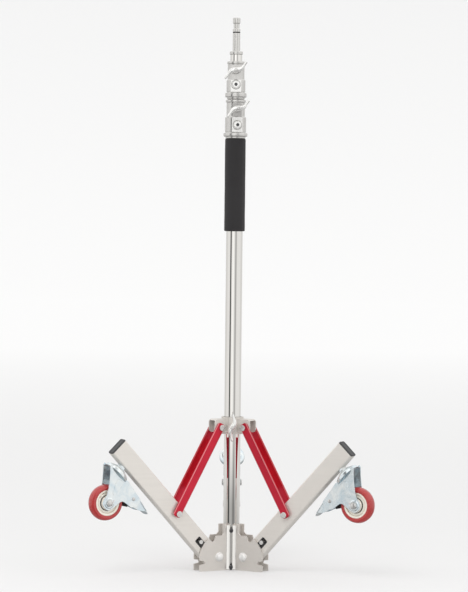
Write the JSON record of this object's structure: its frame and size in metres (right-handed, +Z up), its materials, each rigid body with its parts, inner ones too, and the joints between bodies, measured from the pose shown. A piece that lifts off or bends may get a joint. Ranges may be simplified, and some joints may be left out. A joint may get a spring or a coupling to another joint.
{
  "type": "folding roller lighting stand",
  "caption": "Telescopic steel lighting stand with folding box-section legs on braked casters, a sliding spreader and a spigot top.",
  "frame": {"origin": "middle of the base plug's underside, on the column's axis", "axes": "+Z up the column, -Y towards the front, where the clamp handles are; one leg runs to +Y"},
  "size_m": [0.591, 0.5159, 1.168],
  "materials": {
    "polished_steel": "polished stainless tube",
    "satin_steel": "satin stainless plate",
    "leg_steel": "brushed stainless box tube",
    "spigot_steel": "turned steel",
    "cast_alloy": "polished alloy casting",
    "chrome": "chromed rod",
    "bolt_steel": "stainless fasteners",
    "black_oxide": "black oxide screws",
    "zinc": "bright zinc plate",
    "red_anodised": "red anodised channel",
    "red_polyurethane": "red polyurethane tread",
    "hub_plastic": "cream nylon",
    "black_plastic": "black nylon",
    "cap_plastic": "dark grey plastic cap",
    "liner_plastic": "acetal liner",
    "black_rubber": "rubber ring",
    "foam": "closed-cell foam"
  },
  "bodies": {
    "column": {"base_plug": "black_plastic", "column_tube": "polished_steel", "foam_grip": "foam", "lower_collar": "cast_alloy", "lower_collar_bolt": "bolt_steel", "lower_collar_liner": "liner_plastic", "base_screws": "black_oxide", "leg_pivot_bolts": "bolt_steel", "base_bracket_1": "satin_steel", "base_bracket_2": "satin_steel", "base_bracket_3": "satin_steel"},
    "lower_riser": {"middle_tube": "polished_steel", "middle_bush": "black_plastic", "upper_collar": "cast_alloy", "upper_collar_bolt": "bolt_steel", "upper_collar_liner": "liner_plastic"},
    "upper_riser": {"inner_tube": "polished_steel", "inner_bush": "black_plastic", "spigot": "spigot_steel", "spigot_ring": "black_rubber"},
    "lower_clamp": {"lower_clamp_handle": "chrome"},
    "upper_clamp": {"upper_clamp_handle": "chrome"},
    "spreader_clamp": {"spreader_handle": "chrome"},
    "spreader": {"spreader_collar": "satin_steel", "spreader_liner": "liner_plastic", "spreader_pins": "bolt_steel"},
    "leg_1": {"leg_tube_1": "leg_steel", "leg_end_cap_1": "cap_plastic", "caster_stem_1": "zinc"},
    "strut_1": {"strut_1": "red_anodised", "strut_rivets_1": "bolt_steel"},
    "lock_pin_1": {"lock_pin_1": "bolt_steel"},
    "fork_1": {"caster_fork_1": "zinc", "caster_pins_1": "zinc"},
    "wheel_1": {"tyre_1": "red_polyurethane", "wheel_core_1": "hub_plastic"},
    "pedal_1": {"brake_pedal_1": "zinc"},
    "leg_2": {"leg_tube_2": "leg_steel", "leg_end_cap_2": "cap_plastic", "caster_stem_2": "zinc"},
    "strut_2": {"strut_2": "red_anodised", "strut_rivets_2": "bolt_steel"},
    "lock_pin_2": {"lock_pin_2": "bolt_steel"},
    "fork_2": {"caster_fork_2": "zinc", "caster_pins_2": "zinc"},
    "wheel_2": {"tyre_2": "red_polyurethane", "wheel_core_2": "hub_plastic"},
    "pedal_2": {"brake_pedal_2": "zinc"},
    "leg_3": {"leg_tube_3": "leg_steel", "leg_end_cap_3": "cap_plastic", "caster_stem_3": "zinc"},
    "strut_3": {"strut_3": "red_anodised", "strut_rivets_3": "bolt_steel"},
    "lock_pin_3": {"lock_pin_3": "bolt_steel"},
    "fork_3": {"caster_fork_3": "zinc", "caster_pins_3": "zinc"},
    "wheel_3": {"tyre_3": "red_polyurethane", "wheel_core_3": "hub_plastic"},
    "pedal_3": {"brake_pedal_3": "zinc"}
  },
  "joints": [
    {"name": "lower_riser_slide", "type": "slide", "parent": "column", "child": "lower_riser", "axis": [0, 0, 1], "range_m": [0, 0.79]},
    {"name": "upper_riser_slide", "type": "slide", "parent": "lower_riser", "child": "upper_riser", "axis": [0, 0, 1], "range_m": [0, 0.8]},
    {"name": "lower_clamp_turn", "type": "hinge", "parent": "column", "child": "lower_clamp", "pos_m": [0, 0, 0.975], "axis": [0.1564, -0.9877, 0], "range_deg": [0, 180]},
    {"name": "upper_clamp_turn", "type": "hinge", "parent": "lower_riser", "child": "upper_clamp", "pos_m": [0, 0, 1.056], "axis": [0, -1, 0], "range_deg": [0, 180]},
    {"name": "leg_1_fold", "type": "hinge", "parent": "column", "child": "leg_1", "pos_m": [-0.0317, -0.0183, 0.0291], "axis": [-0.5, 0.866, 0], "range_deg": [-47, 28]},
    {"name": "spreader_slide", "type": "slide", "parent": "column", "child": "spreader", "axis": [0, 0, 1], "range_m": [-0.1285, 0.0767]},
    {"name": "spreader_clamp_turn", "type": "hinge", "parent": "spreader", "child": "spreader_clamp", "pos_m": [0, 0, 0.3039], "axis": [0, -1, 0], "range_deg": [0, 180]},
    {"name": "strut_1_swing", "type": "hinge", "parent": "spreader", "child": "strut_1", "pos_m": [-0.0297, -0.01715, 0.3019], "axis": [-0.5, 0.866, 0], "range_deg": [-10.3, 17.1]},
    {"name": "lock_pin_1_slide", "type": "slide", "parent": "leg_1", "child": "lock_pin_1", "axis": [-0.5906, -0.341, 0.7314], "range_m": [0, 0.005], "stiffness_N_per_m": 300, "springref_m": -0.004},
    {"name": "caster_1_swivel", "type": "hinge", "parent": "leg_1", "child": "fork_1", "pos_m": [-0.22808, -0.13168, 0.22784], "axis": [0.6334, 0.3657, 0.682], "continuous": true},
    {"name": "wheel_1_spin", "type": "hinge", "parent": "fork_1", "child": "wheel_1", "pos_m": [-0.26056, -0.15044, 0.15458], "axis": [-0.5, 0.866, 0], "continuous": true},
    {"name": "brake_1_press", "type": "hinge", "parent": "fork_1", "child": "pedal_1", "pos_m": [-0.21172, -0.12224, 0.16067], "axis": [-0.5, 0.866, 0], "range_deg": [0, 7]},
    {"name": "leg_2_fold", "type": "hinge", "parent": "column", "child": "leg_2", "pos_m": [0.0317, -0.0183, 0.0291], "axis": [-0.5, -0.866, 0], "range_deg": [-47.5, 28.5]},
    {"name": "strut_2_swing", "type": "hinge", "parent": "spreader", "child": "strut_2", "pos_m": [0.0297, -0.01715, 0.3019], "axis": [-0.5, -0.866, 0], "range_deg": [-10.3, 17.1]},
    {"name": "lock_pin_2_slide", "type": "slide", "parent": "leg_2", "child": "lock_pin_2", "axis": [0.5906, -0.341, 0.7314], "range_m": [0, 0.005], "stiffness_N_per_m": 300, "springref_m": -0.004},
    {"name": "caster_2_swivel", "type": "hinge", "parent": "leg_2", "child": "fork_2", "pos_m": [0.22808, -0.13168, 0.22784], "axis": [-0.6334, 0.3657, 0.682], "continuous": true},
    {"name": "wheel_2_spin", "type": "hinge", "parent": "fork_2", "child": "wheel_2", "pos_m": [0.26056, -0.15044, 0.15458], "axis": [-0.5, -0.866, 0], "continuous": true},
    {"name": "brake_2_press", "type": "hinge", "parent": "fork_2", "child": "pedal_2", "pos_m": [0.21172, -0.12224, 0.16067], "axis": [-0.5, -0.866, 0], "range_deg": [0, 7]},
    {"name": "leg_3_fold", "type": "hinge", "parent": "column", "child": "leg_3", "pos_m": [0, 0.0366, 0.0291], "axis": [1, 0, 0], "range_deg": [-47.5, 28.5]},
    {"name": "strut_3_swing", "type": "hinge", "parent": "spreader", "child": "strut_3", "pos_m": [0, 0.0343, 0.3019], "axis": [1, 0, 0], "range_deg": [-10.3, 17.1]},
    {"name": "lock_pin_3_slide", "type": "slide", "parent": "leg_3", "child": "lock_pin_3", "axis": [0, 0.682, 0.7314], "range_m": [0, 0.005], "stiffness_N_per_m": 300, "springref_m": -0.004},
    {"name": "caster_3_swivel", "type": "hinge", "parent": "leg_3", "child": "fork_3", "pos_m": [0, 0.26336, 0.22784], "axis": [0, -0.7314, 0.682], "continuous": true},
    {"name": "wheel_3_spin", "type": "hinge", "parent": "fork_3", "child": "wheel_3", "pos_m": [0, 0.30087, 0.15458], "axis": [1, 0, 0], "continuous": true},
    {"name": "brake_3_press", "type": "hinge", "parent": "fork_3", "child": "pedal_3", "pos_m": [0, 0.24448, 0.16067], "axis": [1, 0, 0], "range_deg": [0, 7]}
  ],
  "couplings": [
    {"joint": "leg_2_fold", "follows": "leg_1_fold", "ratio": 1},
    {"joint": "leg_3_fold", "follows": "leg_1_fold", "ratio": 1},
    {"joint": "spreader_slide", "follows": "leg_1_fold", "m_per_rad": 0.156},
    {"joint": "strut_1_swing", "follows": "leg_1_fold", "ratio": -0.36},
    {"joint": "strut_2_swing", "follows": "leg_1_fold", "ratio": -0.36},
    {"joint": "strut_3_swing", "follows": "leg_1_fold", "ratio": -0.36}
  ]
}
